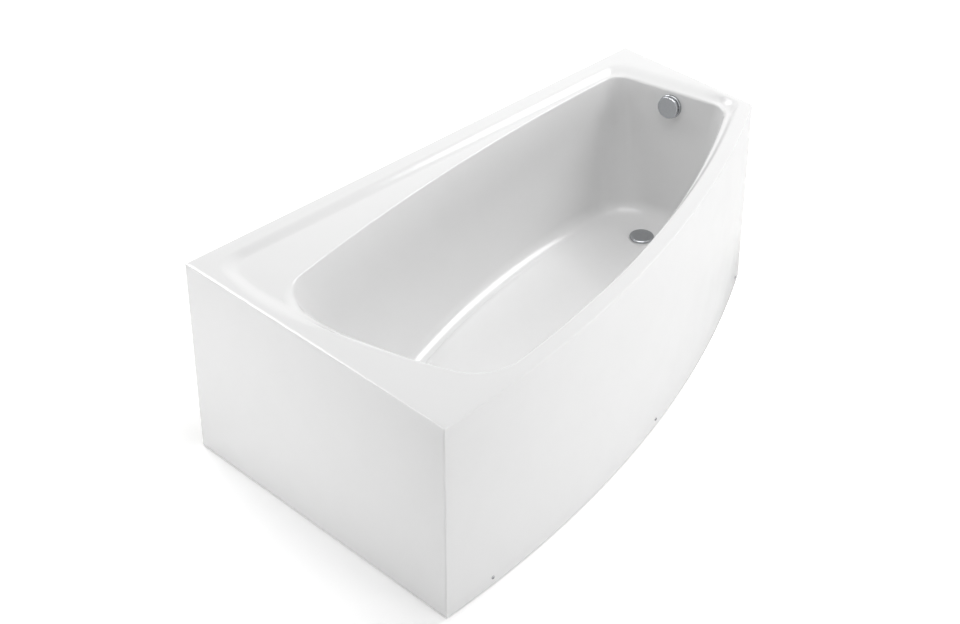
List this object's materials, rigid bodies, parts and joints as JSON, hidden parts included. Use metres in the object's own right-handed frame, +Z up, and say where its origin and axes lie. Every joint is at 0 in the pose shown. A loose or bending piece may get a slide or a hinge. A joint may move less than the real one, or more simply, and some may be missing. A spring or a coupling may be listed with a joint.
{
  "type": "corner bathtub",
  "caption": "Corner bathtub: white acrylic shell with a bowed front that narrows to the tap end, sunk deck, turning waste control, panels, steel frame, screw feet and trap.",
  "frame": {"origin": "on the floor, under the middle of the bath", "axes": "+X along the long wall to the tap end, +Y to the long wall behind the bath, +Z up"},
  "size_m": [1.7, 0.97, 0.6],
  "materials": {
    "acrylic": "glossy",
    "glass_fibre": "rough, resin and chopped glass",
    "chipboard": "raw",
    "timber": "planed, raw",
    "frame_steel": "satin powder coat",
    "zinc_steel": "zinc plated",
    "screw_steel": "bright",
    "foot_plastic": "fine grain",
    "angle_aluminium": "mill finish",
    "chrome": "polished",
    "rubber": "matt",
    "white_plastic": "smooth",
    "lever_plastic": "smooth",
    "lift_steel": "plain",
    "cable_sleeve": "smooth"
  },
  "bodies": {
    "bath": {"base_board": "chipboard", "control_cable": "cable_sleeve", "corner_angle": "angle_aluminium", "cross_beam_head": "frame_steel", "cross_beam_middle": "frame_steel", "cross_beam_tap": "frame_steel", "drain_body": "white_plastic", "drain_flange": "chrome", "drain_gasket": "rubber", "end_panel": "acrylic", "end_panel_brackets": "zinc_steel", "end_panel_strips": "timber", "floor_rail_back": "frame_steel", "floor_rail_front": "frame_steel", "front_panel": "acrylic", "front_panel_brackets": "zinc_steel", "front_panel_strip": "timber", "glass_fibre_backing": "glass_fibre", "lock_nuts": "zinc_steel", "outlet_nut": "white_plastic", "overflow_cup": "white_plastic", "overflow_gasket": "rubber", "overflow_pipe": "white_plastic", "overflow_rosette": "chrome", "panel_hangers": "zinc_steel", "panel_screws": "screw_steel", "pipe_nuts": "white_plastic", "post_back_head": "frame_steel", "post_back_middle": "frame_steel", "post_back_tap": "frame_steel", "post_front_head": "frame_steel", "post_front_middle": "frame_steel", "post_front_tap": "frame_steel", "rim_batten_back": "timber", "rim_batten_front": "timber", "rim_batten_head": "timber", "rim_batten_tap": "timber", "trap_cup": "white_plastic", "trap_head": "white_plastic", "tub_shell": "acrylic", "wall_hooks": "zinc_steel", "waste_outlet": "white_plastic", "weld_nuts": "zinc_steel"},
    "control_knob": {"overflow_knob": "chrome", "cable_crank": "lever_plastic"},
    "waste_plug": {"drain_plug": "chrome", "plug_seal": "rubber"},
    "plug_lifter": {"lift_rod": "lift_steel"},
    "foot_head_back": {"foot_pad_head_back": "foot_plastic", "leg_stud_head_back": "zinc_steel"},
    "foot_head_front": {"foot_pad_head_front": "foot_plastic", "leg_stud_head_front": "zinc_steel"},
    "foot_middle_back": {"foot_pad_middle_back": "foot_plastic", "leg_stud_middle_back": "zinc_steel"},
    "foot_middle_front": {"foot_pad_middle_front": "foot_plastic", "leg_stud_middle_front": "zinc_steel"},
    "foot_tap_back": {"foot_pad_tap_back": "foot_plastic", "leg_stud_tap_back": "zinc_steel"},
    "foot_tap_front": {"foot_pad_tap_front": "foot_plastic", "leg_stud_tap_front": "zinc_steel"}
  },
  "joints": [
    {"name": "control_knob_turn", "type": "hinge", "parent": "bath", "child": "control_knob", "pos_m": [0.75922, 0.218, 0.538], "axis": [-0.9686, -0.2046, 0.1414], "range_deg": [0, 90]},
    {"name": "waste_plug_lift", "type": "slide", "parent": "bath", "child": "waste_plug", "axis": [0, 0, 1], "range_m": [0, 0.01]},
    {"name": "plug_lifter_lift", "type": "slide", "parent": "bath", "child": "plug_lifter", "axis": [0, 0, 1], "range_m": [0, 0.01]},
    {"name": "foot_head_back_height", "type": "slide", "parent": "bath", "child": "foot_head_back", "axis": [0, 0, -1], "range_m": [0, 0.02]},
    {"name": "foot_head_front_height", "type": "slide", "parent": "bath", "child": "foot_head_front", "axis": [0, 0, -1], "range_m": [0, 0.02]},
    {"name": "foot_middle_back_height", "type": "slide", "parent": "bath", "child": "foot_middle_back", "axis": [0, 0, -1], "range_m": [0, 0.02]},
    {"name": "foot_middle_front_height", "type": "slide", "parent": "bath", "child": "foot_middle_front", "axis": [0, 0, -1], "range_m": [0, 0.02]},
    {"name": "foot_tap_back_height", "type": "slide", "parent": "bath", "child": "foot_tap_back", "axis": [0, 0, -1], "range_m": [0, 0.02]},
    {"name": "foot_tap_front_height", "type": "slide", "parent": "bath", "child": "foot_tap_front", "axis": [0, 0, -1], "range_m": [0, 0.02]}
  ],
  "couplings": [
    {"joint": "waste_plug_lift", "follows": "control_knob_turn", "m_per_rad": 0.0063662},
    {"joint": "plug_lifter_lift", "follows": "control_knob_turn", "m_per_rad": 0.0063662}
  ]
}
